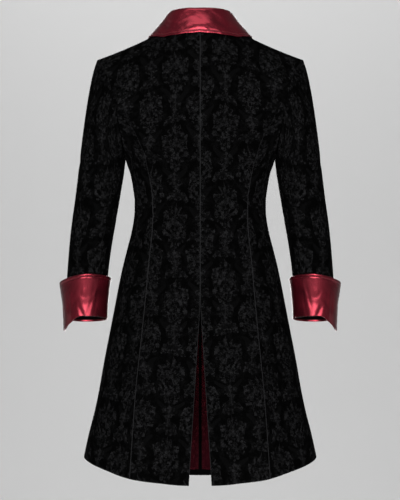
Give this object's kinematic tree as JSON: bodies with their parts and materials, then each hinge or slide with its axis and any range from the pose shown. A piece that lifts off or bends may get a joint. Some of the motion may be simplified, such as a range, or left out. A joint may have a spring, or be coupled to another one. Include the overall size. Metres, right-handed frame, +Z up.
{
  "type": "frock coat",
  "caption": "Long fitted frock coat of black figured velvet with a back vent, a burgundy satin turn-down collar and pointed turned-back cuffs, filled out as if worn.",
  "frame": {"origin": "midway between the two points where the shoulder seams meet the neck", "axes": "+Z up, the coat's front faces -Y, the wearer's left is +X"},
  "size_m": [0.6474, 0.3685, 1.0877],
  "materials": {
    "velvet": "black figured velvet, matt pile",
    "satin": "burgundy satin, soft sheen",
    "lining": "burgundy lining satin"
  },
  "bodies": {
    "root": {"back_left": "velvet", "back_right": "velvet", "side_back_left": "velvet", "side_back_right": "velvet", "front_left": "velvet", "front_right": "velvet", "sleeve_top_left": "velvet", "sleeve_top_right": "velvet", "sleeve_under_left": "velvet", "sleeve_under_right": "velvet", "cuff_left": "satin", "cuff_right": "satin", "collar": "satin", "lining_front_left": "lining", "lining_front_right": "lining"}
  },
  "joints": []
}
